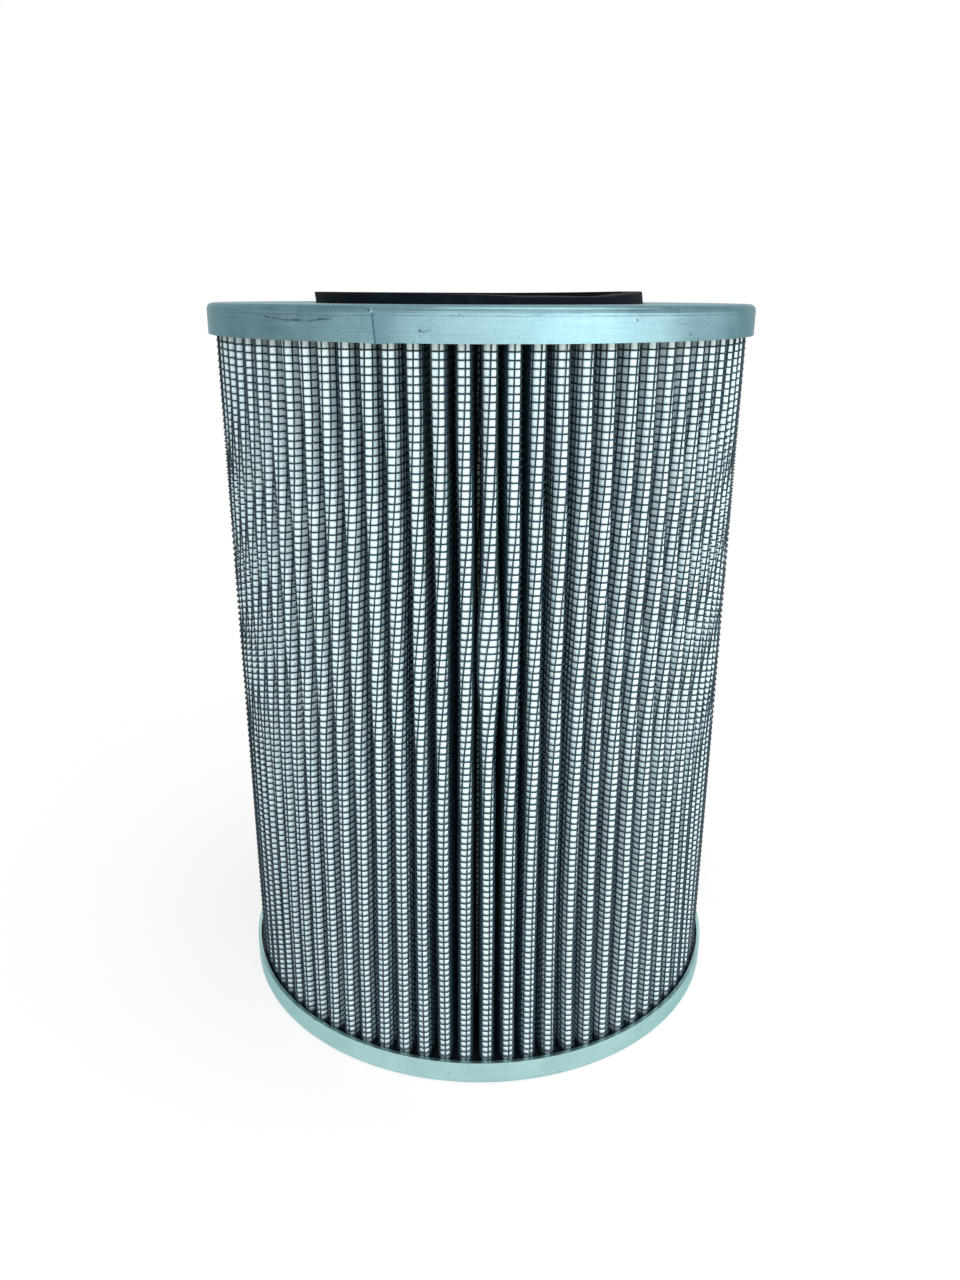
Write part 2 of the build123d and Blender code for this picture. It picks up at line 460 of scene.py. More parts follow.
# the upper cap's plating is painted darker than the lower cap's, as painted shade
shaded_cap_metal = plated_metal(
    "shaded_zinc_plate", (0.055, 0.12, 0.145), (0.205, 0.33, 0.367), 1.0, rim_marks
)
foot_metal = plated_metal("zinc_plate", (0.265, 0.44, 0.448), (0.52, 0.765, 0.77), 0.6)
core_metal = plated_metal("core_sheet", (0.25, 0.36, 0.38), (0.5, 0.66, 0.68), 0.4)

# %% [markdown]
# ## The upper cap
# The cap is one disc of sheet, drawn down at the rim and pressed into a channel for the seal,
# with a collar round the outlet. It is shaped the same way here: a disc, insets and
# extrusions for each press stage, bevels for the bends, and Solidify for the sheet. The rim
# gets rows of edges for the tool's witness line and for a knock that the rim has taken.

# %% Sizes of the upper cap
CAP_SIDES = 720
SHEET = 0.8 * MM
CORNER = 1.3 * MM
SEAL_BORE = 32.1 * MM
SEAL_PLAY = 0.3 * MM  # from the seal to either wall of its channel
CHANNEL_RADIUS = seal_high.x + SEAL_PLAY
COLLAR_RADIUS = SEAL_BORE - SEAL_PLAY
CHANNEL_FLOOR = seal_low.z
COLLAR_TOP = CAP_TOP - 0.6 * MM
CHANNEL_BEND = 1.0 * MM
FLOOR_BEND = 0.3 * MM
RIM_ROWS = (0.2375, 0.475, 0.7125, 0.8835)  # edges round the rim: shares of the way up to the line
RIM_WANDER = 0.05 * MM
RIM_SAG = 0.18 * MM  # under the knock
RIM_SAG_AT, RIM_SAG_WIDTH = -16.6, 1.4  # degrees from the front, and degrees to each side
print("seal channel from", round(COLLAR_RADIUS / MM, 1), "to", round(CHANNEL_RADIUS / MM, 1), "mm")


# %% Press the upper cap
def upper_cap():
    bpy.ops.mesh.primitive_circle_add(
        vertices=CAP_SIDES, radius=CAP_RADIUS, fill_type="NGON", location=(0, 0, CAP_TOP)
    )
    bpy.ops.object.transform_apply()
    piece = start("upper_cap")
    pick_all_faces()
    bpy.ops.mesh.inset(thickness=CAP_RADIUS - CHANNEL_RADIUS)
    extrude(CHANNEL_FLOOR - CAP_TOP)
    bpy.ops.mesh.inset(thickness=CHANNEL_RADIUS - COLLAR_RADIUS)
    extrude(COLLAR_TOP - CHANNEL_FLOOR)
    bpy.ops.mesh.delete(type="FACE")
    pick(piece, "edges", lambda p: near(radius(p), CAP_RADIUS))
    extrude(RIM_FOOT - CAP_TOP)
    bend_edges(piece, CAP_RADIUS, CAP_TOP, CORNER, 6)
    bend_edges(piece, CHANNEL_RADIUS, CAP_TOP, CHANNEL_BEND, 4)
    bend_edges(piece, CHANNEL_RADIUS, CHANNEL_FLOOR, FLOOR_BEND, 2)
    bend_edges(piece, COLLAR_RADIUS, CHANNEL_FLOOR, FLOOR_BEND, 2)
    witness = CAP_TOP - WITNESS_DROP
    for offset in (0.5, 0, -0.5):
        cut_level(witness + offset * WITNESS_WIDTH)
    for share in RIM_ROWS:
        cut_level(RIM_FOOT + share * (witness - RIM_FOOT))
    move_points(piece, shaped_rim)
    face_outwards()
    thicken(piece, SHEET, even=True)
    return finish_piece(piece, shaded_cap_metal, ["top_end_cap"])


def bend_edges(piece, at_radius, at_height, bend, segments):
    """Round off the ring of edges at a radius and a height."""
    found = pick(piece, "edges", lambda p: near(radius(p), at_radius) and near(p.z, at_height))
    bpy.ops.mesh.bevel(offset=bend, segments=segments, affect="EDGES", clamp_overlap=False)
    print("bend at", round(at_radius / MM, 1), "mm on", found, "edges")


def shaped_rim(point):
    """Knock the rim, press in the witness line and let the trimmed edge wander a little."""
    flat_radius = CAP_RADIUS - CORNER
    if radius(point) < flat_radius or near(radius(point), flat_radius):
        return point
    down = (CAP_TOP - point.z) / (CAP_TOP - RIM_FOOT)
    on_line = near(point.z, CAP_TOP - WITNESS_DROP) and near(radius(point), CAP_RADIUS)
    aside, knocked = knock(azimuth(point), down)
    pressed = WITNESS_DEPTH if on_line and not knocked else 0
    point -= Vector((point.x, point.y, 0)).normalized() * (knocked + pressed)
    point = Matrix.Rotation(math.radians(aside), 3, "Z") @ point
    if near(point.z, RIM_FOOT):
        point.z += rim_wander(azimuth(point))
    return point


def knock(angle, down):
    """How far the knock turns a column of the rim, in degrees, and how far it pushes it in.

    The columns beside the crease are drawn up to it. Those to its right are spread over the
    dent, which is deepest at the crease.
    """
    left = KNOCK_LEFT + KNOCK_NARROWS_LEFT * down
    right = KNOCK_RIGHT - KNOCK_NARROWS_RIGHT * down + KNOCK_OVERLAP
    grown = min(1, down / KNOCK_GROWS)
    if near(angle, KNOCK_FIRST, COLUMN_SLACK):
        return (left - angle) * grown, 0
    if not KNOCK_FIRST < angle < KNOCK_LAST + COLUMN_SLACK:
        return 0, 0
    across = (angle - KNOCK_SECOND) / (KNOCK_LAST - KNOCK_SECOND)
    crease = left + CREASE_WIDTH
    return (crease + (right - crease) * across - angle) * grown, KNOCK_DEPTH * (1 - across) * grown


def rim_wander(angle):
    """The trimmed edge is a little uneven, and pushed down under the knock."""
    sag = RIM_SAG * math.exp(-(((angle - RIM_SAG_AT) / RIM_SAG_WIDTH) ** 2))
    return RIM_WANDER * wander(angle * 0.12, 3, 0) - sag


upper_cap()

# %% [markdown]
# ## The lower cap
# The lower cap is closed. Its rim turns up round the ends of the folds, and its middle is
# pressed up to sit inside the core tube. It is made as the upper one was, from below.

# %% Sizes of the lower cap
BOSS_RADIUS = 32.1 * MM
BOSS_HEIGHT = 3.0 * MM
BOSS_FOOT_BEND = 1.1 * MM
BOSS_TOP_BEND = 0.4 * MM
FOOT_RIM_TOP = foot_high.z
FOOT_RIM_LIP = 0.5 * MM  # the part of the rim that wanders
FOOT_RIM_WANDER = 0.06 * MM
print("lower rim", round(FOOT_RIM_TOP / MM, 1), "mm high")


# %% Press the lower cap
def lower_cap():
    bpy.ops.mesh.primitive_circle_add(vertices=CAP_SIDES // 2, radius=CAP_RADIUS, fill_type="NGON")
    piece = start("lower_cap")
    pick_all_faces()
    bpy.ops.mesh.inset(thickness=CAP_RADIUS - BOSS_RADIUS)
    extrude(BOSS_HEIGHT)
    bpy.ops.mesh.inset(thickness=BOSS_RADIUS / 3)
    bpy.ops.mesh.inset(thickness=BOSS_RADIUS / 3)
    bpy.ops.mesh.poke()
    pick(piece, "edges", lambda p: near(radius(p), CAP_RADIUS))
    extrude(FOOT_RIM_TOP)
    bend_edges(piece, CAP_RADIUS, 0, CORNER, 6)
    bend_edges(piece, BOSS_RADIUS, 0, BOSS_FOOT_BEND, 4)
    bend_edges(piece, BOSS_RADIUS, BOSS_HEIGHT, BOSS_TOP_BEND, 3)
    cut_level(FOOT_RIM_TOP - FOOT_RIM_LIP)
    move_points(piece, shaped_foot_rim)
    face_outwards()
    thicken(piece, SHEET, even=True)
    return finish_piece(piece, foot_metal, ["bottom_end_cap"])


def shaped_foot_rim(point):
    """Let the lower rim's trimmed edge wander a little too."""
    if near(point.z, FOOT_RIM_TOP):
        point.z += FOOT_RIM_WANDER * wander(azimuth(point) * 0.1, 7, 0)
    return point


lower_cap()

# %% [markdown]
# ## The rubber seal
# The seal is a square-cut rubber ring in the cap's channel. It stands proud of the cap, and it
# has taken a set: it is high at the back and the sides, and pressed low at the front right. A
# small plane is its section, beveled a little at the corners and spun round the axis.

# %% Black rubber
def seal_rubber():
    finish = Finish("black_rubber")
    dust = finish.noise(300, 4.0).ramp(0.55, 0.8)
    grain = finish.noise(4000, 2.0)
    colour = finish.mix(dust * 0.5, (0.003, 0.006, 0.01), (0.015, 0.023, 0.032))
    return finish.set(
        Base_Color=colour,
        Specular_IOR_Level=0.04,
        Roughness=0.7 + dust * 0.2,
        Normal=finish.bump(grain, 0.02 * MM, 0.5),
    )


# %% Spin the seal
SEAL_SIDES = 240
SEAL_WIDTH = seal_high.x - SEAL_BORE
SEAL_HEIGHT = seal_high.z - seal_low.z
SEAL_MIDDLE = (SEAL_BORE + seal_high.x) / 2  # radius of the middle of its section
SEAL_EDGE = 0.12 * MM
SEAL_SHIFT = -0.65 * MM  # the ring's top leans to -X
# the ring's top above the cap's flat, in mm, by degrees from the front
SEAL_SET = (
    (-180, 2.2), (-90, 2.25), (-25, 2.0), (0, 1.75), (16, 1.45),
    (42, 1.45), (68, 2.1), (90, 2.55), (180, 2.2),
)
SEAL_TWIST = 0.16 * MM  # the inner edge stands this far over the middle where the ring is lowest
SEAL_LOW_AT, SEAL_LOW_WIDTH = 22, 22  # degrees from the front, and degrees to each side
WELD = 0.005 * MM


def seal_lift(angle):
    """How far the ring's top stands above or below its even height, by azimuth."""
    for (left, low), (right, high) in zip(SEAL_SET, SEAL_SET[1:]):
        if left <= angle <= right:
            share = (angle - left) / (right - left)
            share = share * share * (3 - 2 * share)
            return (low + (high - low) * share) * MM + CAP_TOP - seal_high.z


def seal_twist(angle):
    return SEAL_TWIST * math.exp(-(((angle - SEAL_LOW_AT) / SEAL_LOW_WIDTH) ** 2))


def settled_seal(point):
    """Lift and lean the ring, more so towards its top."""
    share = (point.z - seal_low.z) / SEAL_HEIGHT
    inward = (SEAL_MIDDLE - radius(point)) / (SEAL_WIDTH / 2)
    angle = azimuth(point)
    point.z += share * (seal_lift(angle) + inward * seal_twist(angle))
    point.x += share * SEAL_SHIFT
    return point


def rubber_seal():
    bpy.ops.mesh.primitive_plane_add(size=1)
    piece = start("rubber_seal")
    bpy.ops.mesh.select_all(action="SELECT")
    bpy.ops.transform.resize(value=(SEAL_WIDTH, SEAL_HEIGHT, 1))
    bpy.ops.mesh.bevel(offset=SEAL_EDGE, segments=2, affect="VERTICES")
    mid_height = (seal_low.z + seal_high.z) / 2
    move_points(piece, lambda p: (SEAL_MIDDLE + p.x, 0, mid_height + p.y))
    bpy.ops.mesh.spin(steps=SEAL_SIDES, angle=math.tau, center=(0, 0, 0), axis=(0, 0, 1))
    pick(piece, "faces", lambda p: near(p.y, 0) and p.x > 0)
    bpy.ops.mesh.delete(type="ONLY_FACE")
    bpy.ops.mesh.select_all(action="SELECT")
    bpy.ops.mesh.remove_doubles(threshold=WELD)
    move_points(piece, settled_seal)
    face_outwards()
    return finish_piece(piece, seal_rubber(), ["seal_ring"])


rubber_seal()

# %% [markdown]
# ## Where the folded web lies
# The web and the wires on it follow one shape, so it is written once. fold_point gives a place
# on one fold: up its first leg, round its crest or down its other leg, at a height and a
# distance off the web's surface. web_point finds the fold from a distance along the flat strip,
# which also runs across to the next fold.

# %% Sizes of the folds
FOLDS = 80
FIRST_FOLD = 2.1  # degrees from the front
CREST_RADIUS = 58.1 * MM  # the web's dirty face, under the wire mesh
FOOT_RADIUS = 35.3 * MM
HALF_CREST = 1.14 * MM  # half of a fold's width at its crest
HALF_FOOT = 0.72 * MM  # and at its foot, next to the core tube
CREST_DEPTH = 1.45 * MM
CREST_WANDER = 0.12 * MM
SHOULDER = 0.82  # 1 would be an even arch over the crest, and less is squarer
CREST_STEPS, WIRE_STEPS, CLEAN_STEPS = 8, 6, 2  # over a crest, in the web, a wire, the clean mesh
OUTLINE_STEPS = 40


def crest_shape(share):
    """The crest's outline over one half-width and one depth, from share 0 at its left to 1."""
    turn = math.pi * (1 - share)
    across = math.copysign(abs(math.cos(turn)) ** SHOULDER, math.cos(turn))
    return across, abs(math.sin(turn)) ** SHOULDER


outline = [crest_shape(step / OUTLINE_STEPS) for step in range(OUTLINE_STEPS + 1)]
CREST = sum(
    math.hypot((a[0] - b[0]) * HALF_CREST, (a[1] - b[1]) * CREST_DEPTH)
    for a, b in zip(outline, outline[1:])
)
WEB_BOTTOM = mesh_low.z
WEB_TOP = mesh_high.z
LEG = CREST_RADIUS - CREST_DEPTH - FOOT_RADIUS
FOLD_PITCH = math.tau / FOLDS
GAP = FOLD_PITCH * FOOT_RADIUS - 2 * HALF_FOOT
FOLD_LENGTH = 2 * LEG + CREST + GAP
BULGE_HEIGHT = 101 * MM
BULGE = 0.95 * MM  # the front fold has opened out at this height
BULGE_LENGTH = 12 * MM
OWN_WIDTH = 0.1 * MM  # how much each fold's width wanders
# degrees that the folds lean
SPREAD = 1.5  # apart at the front, towards the foot
GATHER, GATHER_AT, GATHER_WIDTH = 0.4, 15, 8  # in right of the middle, near the top
RIPPLE = 0.35  # as neighbours do together
OWN_LEAN = 0.22
KINK = 0.06
print("one fold takes", round(FOLD_LENGTH / MM, 1), "mm of web")


# %% The shape of the folded web
def fold_angle(fold):
    return math.radians(FIRST_FOLD) + fold * FOLD_PITCH


def beside_fold(fold, aside, out, height):
    """The place that is so far to a fold's side and so far out from the axis."""
    angle = fold_angle(fold)
    return (
        aside * math.cos(angle) + out * math.sin(angle),
        aside * math.sin(angle) - out * math.cos(angle),
        height,
    )


def fold_lean(fold, height):
    """How far a fold's crest stands to one side of its even place, in metres."""
    angle = fold_angle(fold)
    up = height / CAP_TOP
    from_gather = (math.degrees(angle) - GATHER_AT) / GATHER_WIDTH
    spread = SPREAD * (1 - up) ** 2 * math.sin(2 * angle) * (math.cos(angle) > 0)
    spread -= GATHER * up**3 * math.exp(-(from_gather**2))
    ripple = RIPPLE * wander(3 * math.cos(angle), 3 * math.sin(angle), height / (45 * MM))
    own = OWN_LEAN * wander(fold * 7.3, height / (60 * MM), 1)
    kink = KINK * wander(fold * 3.1, height / (12 * MM), 5)
    return math.radians(spread + ripple + own + kink) * CREST_RADIUS


def fold_bulge(fold, height):
    """How much wider than the others a fold's crest is on each side."""
    own = OWN_WIDTH * wander(fold * 5.7, height / (30 * MM), 9)
    if fold % FOLDS:
        return own
    return own + BULGE * math.exp(-(((height - BULGE_HEIGHT) / BULGE_LENGTH) ** 2))


def fold_point(fold, part, height, off):
    """A place on one fold. part is (name, share along that part of the fold)."""
    lean, wide = fold_lean(fold, height), fold_bulge(fold, height)
    crest_base = CREST_RADIUS - CREST_DEPTH
    crest_base += CREST_WANDER * wander(fold * 2.9, height / (50 * MM), 3)
    name, share = part
    if name == "crest":
        across, up = crest_shape(share)
        aside = (HALF_CREST + wide + off) * across + lean
        out = crest_base + (CREST_DEPTH + off) * up
    else:
        side = 1 if name == "down" else -1
        rise = 1 - share if name == "down" else share
        aside = side * (HALF_FOOT + off + (HALF_CREST - HALF_FOOT + wide) * rise) + lean * rise
        out = FOOT_RADIUS + off * (1 - rise) + rise * (crest_base - FOOT_RADIUS)
    return beside_fold(fold, aside, out, height)


def web_point(distance, height, off):
    """A place on the web by its distance along the flat strip."""
    fold, along = divmod(distance, FOLD_LENGTH)
    fold = int(fold)
    past_crest = along - LEG - CREST / 2
    half_crest = CREST / 2 + fold_bulge(fold, height)
    if abs(past_crest) < half_crest:
        return fold_point(fold, ("crest", 0.5 + past_crest / half_crest / 2), height, off)
    leg = LEG + CREST / 2 - half_crest
    down = (abs(past_crest) - half_crest) / leg
    if past_crest < 0:
        return fold_point(fold, ("up", 1 - down), height, off)
    if down < 1:
        return fold_point(fold, ("down", down), height, off)
    share = (along - 2 * LEG - CREST) / GAP
    here = Vector(fold_point(fold, ("down", 1), height, off))
    return tuple(here.lerp(Vector(fold_point(fold + 1, ("up", 0), height, off)), share))


def fold_parts(steps):
    """One fold from foot to foot, with its crest in a number of steps."""
    return [("up", 0), *[("crest", step / steps) for step in range(steps + 1)], ("down", 1)]


WEB_PARTS = fold_parts(CREST_STEPS)
WIRE_PARTS = fold_parts(WIRE_STEPS)
CLEAN_PARTS = fold_parts(CLEAN_STEPS)

# %% [markdown]
# ## The fibre web
# The web is a soft white felt of fine fibres. It starts as a plain cylinder with a column of
# faces for each facet of each fold, and its vertices are then moved to where the folded web
# lies. Solidify gives it its thickness. The adhesive at its foot has soaked up into it, and
# the felt just under the upper rim is darkened with painted shade.

# %% White fibre felt
ADHESIVE_LEVEL = 3.4 * MM
SOAK_HEIGHT = 1.1 * MM  # how far above it the adhesive has soaked up
SOAK_UNEVEN = 1.6 * MM
# painted shade under the upper rim: the felt darkens between these heights
UNDER_RIM_SHADE = (RIM_FOOT - 1.5 * MM, RIM_FOOT - 0.6 * MM)  # the heights over which it darkens


def fibre_felt():
    finish = Finish("white_fibre_web")
    fibres = finish.noise(3500, 3.0, (1, 1, 0.3))
    clouds = finish.noise(500, 3.0)
    tone = ((fibres - 0.5) * 0.9 + (clouds - 0.5) * 0.6 + 0.5).clamped()
    colour = finish.mix(tone, (0.49, 0.68, 0.73), (0.73, 0.9, 0.93))
    level = finish.z - finish.noise(700, 2.0) * SOAK_UNEVEN
    soaked = level.ramp(ADHESIVE_LEVEL + SOAK_HEIGHT, ADHESIVE_LEVEL)
    colour = finish.mix(soaked, colour, (0.08, 0.12, 0.15))
    # painted shade under the upper rim's overhang
    colour = finish.mix(finish.z.ramp(*UNDER_RIM_SHADE) * 0.75, colour, (0.42, 0.5, 0.47))
    return finish.set(
        Base_Color=colour,
        Specular_IOR_Level=0.15,
        Roughness=0.9 - soaked * 0.4,
        Normal=finish.bump(fibres * 0.6 + clouds, 0.06 * MM, 0.7),
    )


# %% Heights at which the web is bent
def levels(coarse, fine):
    """Heights up the web: coarse steps, and finer ones round the bulge."""
    heights = [WEB_BOTTOM]
    while heights[-1] < WEB_TOP:
        close = abs(heights[-1] + fine - BULGE_HEIGHT) < 2 * BULGE_LENGTH
        heights.append(min(heights[-1] + (fine if close else coarse), WEB_TOP))
    return heights


WEB_LEVELS = levels(9 * MM, 4.5 * MM)
print("the web bends at", len(WEB_LEVELS), "heights")


# %% Fold a sheet
def folded_sheet(name, parts, off, thickness):
    """A cylinder with a column of faces for each part of each fold, moved into the folds."""
    columns = FOLDS * len(parts)
    bpy.ops.mesh.primitive_cylinder_add(
        vertices=columns, radius=CREST_RADIUS, depth=WEB_TOP - WEB_BOTTOM, end_fill_type="NOTHING",
        location=(0, 0, (WEB_TOP + WEB_BOTTOM) / 2),
    )
    bpy.ops.object.transform_apply()
    piece = start(name)
    for height in WEB_LEVELS[1:-1]:
        cut_level(height)

    def folded(point):
        column = round(azimuth(point) / 360 * columns) % columns
        fold, part = divmod(column, len(parts))
        return fold_point(fold, parts[part], point.z, off)

    move_points(piece, folded)
    face_outwards()
    thicken(piece, thickness)
    return piece


WEB_THICKNESS = 0.42 * MM
web = folded_sheet("fibre_web", WEB_PARTS, 0, WEB_THICKNESS)
finish_piece(web, fibre_felt(), ["filter_media"], smooth=50)

# %% [markdown]
# ## The mesh on the clean side
# The same mesh backs the web's clean face. It only shows through the slots of the core tube,
# from inside the outlet, so here it is one thin folded sheet with its wires drawn in the
# material. It follows the web's own shape, so that it can't come through it.

# %% Wires drawn on the clean-side mesh
CROSS_PITCH = 1.4226 * MM
UPRIGHTS_A_FOLD = 30  # a whole number, so that the wires fall alike on neighbouring folds
UPRIGHT_PITCH = FOLD_LENGTH / UPRIGHTS_A_FOLD
CLEAN_MESH_OFF = WEB_THICKNESS + 0.01 * MM  # under the web's dirty face
CLEAN_MESH_THICKNESS = 0.22 * MM


def drawn_mesh():
    finish = Finish("clean_side_mesh")
    round_axis = finish.x.math("ARCTAN2", finish.y) * core_high.x
    level = (finish.z / CROSS_PITCH).math("FRACT")
    upright = (round_axis / UPRIGHT_PITCH).math("FRACT")
    wire = (level < 0.2).larger(upright < 0.18)
    felt = finish.mix(finish.noise(3000, 3.0), (0.62, 0.78, 0.82), (0.8, 0.92, 0.94))
    return finish.set(
        Base_Color=finish.mix(wire, felt, (0.01, 0.02, 0.03)),
        Roughness=0.85 - wire * 0.3,
        Normal=finish.bump(wire, 0.2 * MM, 0.8),
    )


clean_mesh = folded_sheet("clean_mesh", CLEAN_PARTS, -CLEAN_MESH_OFF, CLEAN_MESH_THICKNESS)
finish_piece(clean_mesh, drawn_mesh(), ["inner_wire_mesh"], smooth=50)

# %% [markdown]
# ## The wires
# The mesh is woven from thin wire with a black coat: cross wires 1.42 mm apart run level round
# every fold, and upright wires 1.6 mm apart run up the web. They are modelled one by one, as
# curves that follow the web a little off its face. Their section is three-sided, because each
# cross wire turns 720 corners and there are over a hundred of them. The weave isn't quite square
# to the folds, so the upright wires drift across the crests on their way down.

# %% Black coated wire
def wire_coat():
    finish = Finish("black_wire_coat")
    wear = finish.noise(900, 3.0).ramp(0.5, 0.75)
    colour = finish.mix(wear * 0.6, (0.009, 0.028, 0.043), (0.03, 0.065, 0.085))
    return finish.set(Base_Color=colour, Specular_IOR_Level=0.3, Roughness=0.5 + wear * 0.2)


wire_black = wire_coat()

# %% A tube along each of many lines
WIRE = 0.35 * MM
WIRE_CORNER = WIRE / 2 * 1.1  # from the middle of a three-sided wire to its corners


def wire_section():
    """The wires' three-sided section, as a small closed curve."""
    section = bpy.data.curves.new("wire_section", "CURVE")
    corners = section.splines.new("POLY")
    corners.points.add(2)
    for point, turn in zip(corners.points, (90, 210, 330)):
        turn = math.radians(turn)
        point.co = (WIRE_CORNER * math.cos(turn), WIRE_CORNER * math.sin(turn), 0, 1)
    corners.use_cyclic_u = True
    return put_in_scene("wire_section", section)


section = wire_section()


def wires(name, lines, closed, replaced=()):
    """One mesh of wires, one wire along each line of points."""
    curve = bpy.data.curves.new(name, "CURVE")
    curve.dimensions = "3D"
    curve.bevel_mode = "OBJECT"
    curve.bevel_object = section
    curve.use_fill_caps = not closed
    curve.twist_mode = "Z_UP" if closed else "MINIMUM"
    for line in lines:
        spline = curve.splines.new("POLY")
        spline.points.add(len(line) - 1)
        spline.points.foreach_set("co", [c for point in line for c in (*point, 1)])
        spline.use_cyclic_u = closed
    piece = put_in_scene(name, curve)
    bpy.context.view_layer.objects.active = piece
    piece.select_set(True)
    bpy.ops.object.convert(target="MESH")
    return finish_piece(bpy.context.active_object, wire_black, replaced, smooth=75)


# %% Lay the cross wires
CROSS_OFF = WIRE * 0.95  # from the web's face to the wires' middle
CROSS_WAVE = 0.1 * MM
FIRST_ROW = WEB_BOTTOM + 1.27 * MM
ROWS = int((WEB_TOP - FIRST_ROW) / CROSS_PITCH) + 1
CROSS_PIECES = ("lower", "middle", "upper")


def cross_wire(height):
    """One ring of wire that follows every fold at about one height."""
    line = []
    for fold in range(FOLDS):
        for part in WIRE_PARTS:
            x, y, z = fold_point(fold, part, height, CROSS_OFF)
            wave = CROSS_WAVE * wander(fold * 0.35, height / (9 * MM), 2)
            line.append((x, y, z + wave))
    return line


cross_heights = [FIRST_ROW + row * CROSS_PITCH for row in range(ROWS)]
rows_each = math.ceil(ROWS / len(CROSS_PIECES))
for index, which in enumerate(CROSS_PIECES):
    rows = cross_heights[index * rows_each:(index + 1) * rows_each]
    wires(f"cross_wires_{which}", [cross_wire(height) for height in rows], True)


# %% Lay the upright wires
UPRIGHT_OFF = WIRE * 0.45  # less, as they lie under the cross wires
UPRIGHT_PHASE = LEG + CREST / 2 + 0.2 * MM  # puts a wire near the middle of each crest
DRIFT = -6.4 * MM
DRIFT_HEIGHT = 105 * MM  # over which the wires drift, from the top down
LONG_SWAY, SHORT_SWAY = 0.45 * MM, 0.09 * MM
LEVEL_STEP = 13 * MM


def upright_drift(height):
    """How far an upright wire has moved along the web at a height."""
    share = min((WEB_TOP - height) / DRIFT_HEIGHT, 1)
    return DRIFT * share * share * (3 - 2 * share)


def upright_wire(number, heights):
    start_at = number * UPRIGHT_PITCH + UPRIGHT_PHASE
    line = []
    for height in heights:
        sway = LONG_SWAY * wander(number * 0.012, height / (90 * MM), 4)
        sway += SHORT_SWAY * wander(number * 0.7, height / (30 * MM), 6)
        along = (start_at + upright_drift(height) + sway) % (FOLDS * FOLD_LENGTH)
        line.append(web_point(along, height, UPRIGHT_OFF))
    return line


upright_count = FOLDS * UPRIGHTS_A_FOLD - 1  # the last one, beside the first fold, is left out
plain_levels = levels(LEVEL_STEP, LEVEL_STEP)
bulge_reach = UPRIGHTS_A_FOLD * 1.5  # wires to each side that the bulge may move
lines = []
for number in range(upright_count):
    near_bulge = min(number, upright_count - number) < bulge_reach
    lines.append(upright_wire(number, WEB_LEVELS if near_bulge else plain_levels))
wires("upright_wires", lines, False, ["outer_wire_mesh"])
bpy.data.objects.remove(section)

# %% [markdown]
# ## The adhesive and the seam
# Dark adhesive fills the lower cap and shows between the ends of the folds. It was poured, so
# its surface is smooth and a little uneven: a disc with many rings, whose points are lifted. A
# bead of the same adhesive joins the web's two ends, along the crest of the fold at the back. It
# is a thin cylinder that swells and narrows on its way up, as a bead laid by hand does.

# %% Dark adhesive
def cured_adhesive():
    finish = Finish("dark_adhesive")
    clouds = finish.noise(250, 3.0)
    colour = finish.mix(clouds, (0.008, 0.012, 0.022), (0.03, 0.042, 0.06))
    return finish.set(
        Base_Color=colour,
        Roughness=0.28 + clouds * 0.2,
        Normal=finish.bump(clouds, 0.2 * MM, 0.5),
    )


adhesive = cured_adhesive()


# %% Pour the adhesive
POOL_SIDES = 480
POOL_RINGS = 10
POOL_FLOOR = 1.2 * MM
POOL_UNEVEN = 0.35 * MM
POOL_GRAIN = 3.5 * MM


def poured_adhesive():
    outer, inner = CAP_RADIUS - SHEET, core_high.x
    bpy.ops.mesh.primitive_circle_add(
        vertices=POOL_SIDES, radius=outer, fill_type="NGON", location=(0, 0, ADHESIVE_LEVEL)
    )
    bpy.ops.object.transform_apply()
    piece = start("lower_adhesive")
    pick_all_faces()
    for _ in range(POOL_RINGS):
        bpy.ops.mesh.inset(thickness=(outer - inner) / POOL_RINGS)
    bpy.ops.mesh.delete(type="FACE")
    move_points(piece, lambda p: p + Vector((0, 0, POOL_UNEVEN * noise.noise(p / POOL_GRAIN))))
    thicken(piece, ADHESIVE_LEVEL - POOL_FLOOR)
    return finish_piece(piece, adhesive, ["bottom_potting"])


poured_adhesive()


# %% Bond the side seam
SEAM_FOLD = FOLDS // 2
BEAD_RADIUS = 0.5 * MM
BEAD_STEP = 1.2 * MM
BEAD_SINK = 0.15 * MM  # its middle, under the top of the crest
BEAD_SWELL = 0.45  # share by which it swells and narrows
BEAD_FLATNESS = 0.9  # its depth over its width


def seam_bead():
    bpy.ops.mesh.primitive_cylinder_add(
        vertices=16, radius=BEAD_RADIUS, depth=WEB_TOP - WEB_BOTTOM, end_fill_type="TRIFAN",
        location=(0, 0, (WEB_TOP + WEB_BOTTOM) / 2),
    )
    bpy.ops.object.transform_apply()
    piece = start("side_seam_bead")
    height = WEB_BOTTOM + BEAD_STEP
    while height < WEB_TOP:
        cut_level(height)
        height += BEAD_STEP
    move_points(piece, laid_bead)
    face_outwards()
    return finish_piece(piece, adhesive, ["side_seam"])


def laid_bead(point):
    """Take the bead from the axis to the crest of the seam's fold."""
    x, y, z = point
    swell = 1 + BEAD_SWELL * wander(x / MM, y / MM, z / (2.5 * MM))
    out = CREST_RADIUS - BEAD_SINK + y * swell * BEAD_FLATNESS
    return beside_fold(SEAM_FOLD, x * swell + fold_lean(SEAM_FOLD, z), out, z)


seam_bead()

# %% [markdown]
# ## Finishes for the pieces kept from the solid model
# The core tube and the adhesive in the upper cap have their true shapes already, so they only
# need a finish.

# %% Give the kept pieces their finishes
def refinish(node, material):
    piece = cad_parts[node]
    piece.data.materials.clear()
    piece.data.materials.append(material)
    print(node, "is finished as", material.name)


refinish("core_tube", core_metal)
refinish("top_potting", adhesive)

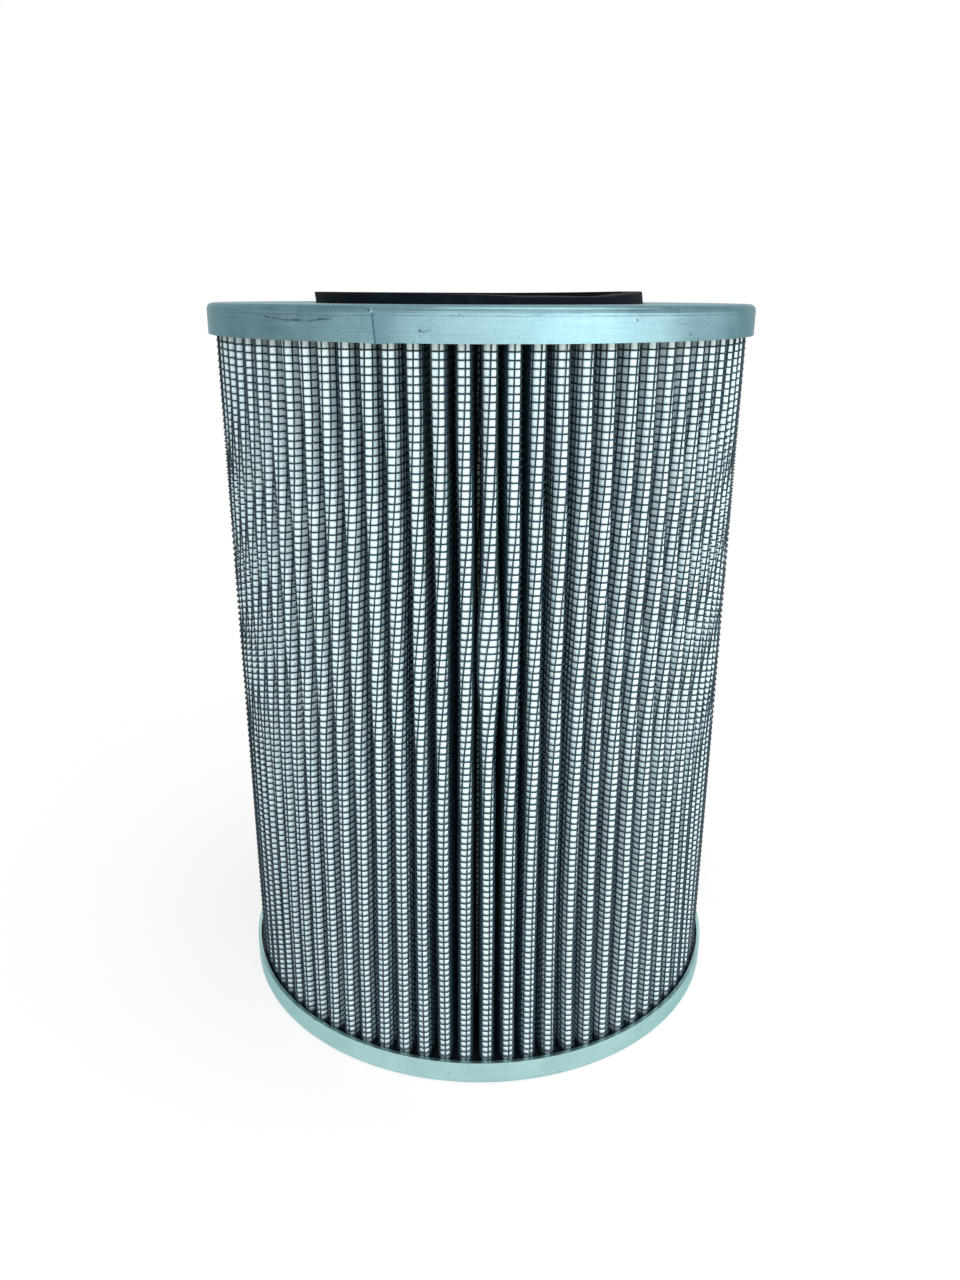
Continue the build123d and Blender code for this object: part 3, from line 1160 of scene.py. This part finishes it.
# %% [markdown]
# ## The room
# The element stands on a plain white floor in soft light. A satin rim shows each lamp as a
# stripe as wide as the lamp, so one lamp alone leaves a hard band. A row of strip lamps level
# with the rim, strongest at the front right, makes one broad glint that fades to both sides,
# and a high lamp carries it over the rounded corner. The lamps are a little warm, which keeps
# the crests of the folds neutral on a bluish felt. The world looks white to the camera and in
# reflections, but lights the scene more dimly, and a wide lamp overhead softens what is left.

# %% White floor
FLOOR_RADIUS = 6
SHADE_EDGE = (0.07, 0.26)  # metres from the axis over which the shade on the floor fades


def pale_floor():
    bpy.ops.mesh.primitive_circle_add(vertices=64, radius=FLOOR_RADIUS, fill_type="NGON")
    floor = bpy.context.active_object
    floor.name = "floor"
    finish = Finish("pale_floor")
    seen = seen_directly(finish.tree)
    away = hypotenuse(finish.x, finish.y).ramp(*SHADE_EDGE)
    finish.set(Base_Color=(0.9, 0.9, 0.9), Roughness=0.9)
    glow = finish.node("ShaderNodeEmission", None, {"Color": (1.0, 1.0, 1.0), "Strength": 1.0})
    glowing = seen * (away * 0.3 + 0.7)
    mixed = finish.node(
        "ShaderNodeMixShader", None, {0: glowing, 1: finish.shader.outputs[0], 2: glow}
    )
    finish.feed(finish.tree.nodes["Material Output"].inputs["Surface"], mixed)
    floor.data.materials.append(finish.material)


def seen_directly(tree):
    """1 where the camera, a gloss or a clear piece sees a surface, and 0 where light bounces."""
    path = tree.nodes.new("ShaderNodeLightPath")
    seen = Value(tree, path.outputs["Is Camera Ray"])
    for ray in ("Is Glossy Ray", "Is Transmission Ray"):
        seen = seen.larger(Value(tree, path.outputs[ray]))
    return seen


pale_floor()


# %% World and lamps
def white_world(strength):
    world = bpy.data.worlds.new("world")
    world.use_nodes = True
    bpy.context.scene.world = world
    back = world.node_tree.nodes["Background"]
    seen = seen_directly(world.node_tree)
    world.node_tree.links.new((seen * (1 - strength) + strength).socket, back.inputs["Strength"])
    back.inputs["Color"].default_value = (1, 1, 1, 1)


def soft_lamp(name, angle, rise, away, width, height, power):
    """A flat lamp at an azimuth from the front, a height and a distance, aimed at the element."""
    lamp = bpy.data.lights.new(name, "AREA")
    lamp.shape, lamp.size, lamp.size_y = "RECTANGLE", width, height
    lamp.energy, lamp.color = power, LAMP_COLOUR
    holder = put_in_scene(name, lamp)
    turn = math.radians(angle)
    holder.location = (away * math.sin(turn), -away * math.cos(turn), rise)
    aim = Vector((0, 0, CAP_TOP)) - holder.location
    holder.rotation_euler = aim.to_track_quat("-Z", "Y").to_euler()


BOUNCED_LIGHT = 0.63  # the world's strength where light bounces
LAMP_COLOUR = (1, 0.955, 0.92)
# the row of strip lamps: degrees from the front, and watts
STRIPS = ((-50, 0.3), (-18, 0.85), (10, 1.2), (38, 1.85), (66, 1.2), (100, 0.35))
STRIP_AWAY, STRIP_WIDTH, STRIP_HEIGHT = 0.9, 0.46, 0.12  # metres
# the other lamps: degrees, metres up and away, metres wide and high, and watts
HIGH_LAMP = (14, 0.5, 0.72, 1.2, 0.45, 2.5)
TOP_LAMP = (70, 1.15, 0.25, 0.9, 0.9, 7)

white_world(BOUNCED_LIGHT)
for angle, power in STRIPS:
    soft_lamp(
        f"strip_at_{angle}", angle, CAP_TOP, STRIP_AWAY, STRIP_WIDTH, STRIP_HEIGHT, power
    )
soft_lamp("high", *HIGH_LAMP)
soft_lamp("top", *TOP_LAMP)
print(len(STRIPS), "strip lamps, a high one and one overhead")
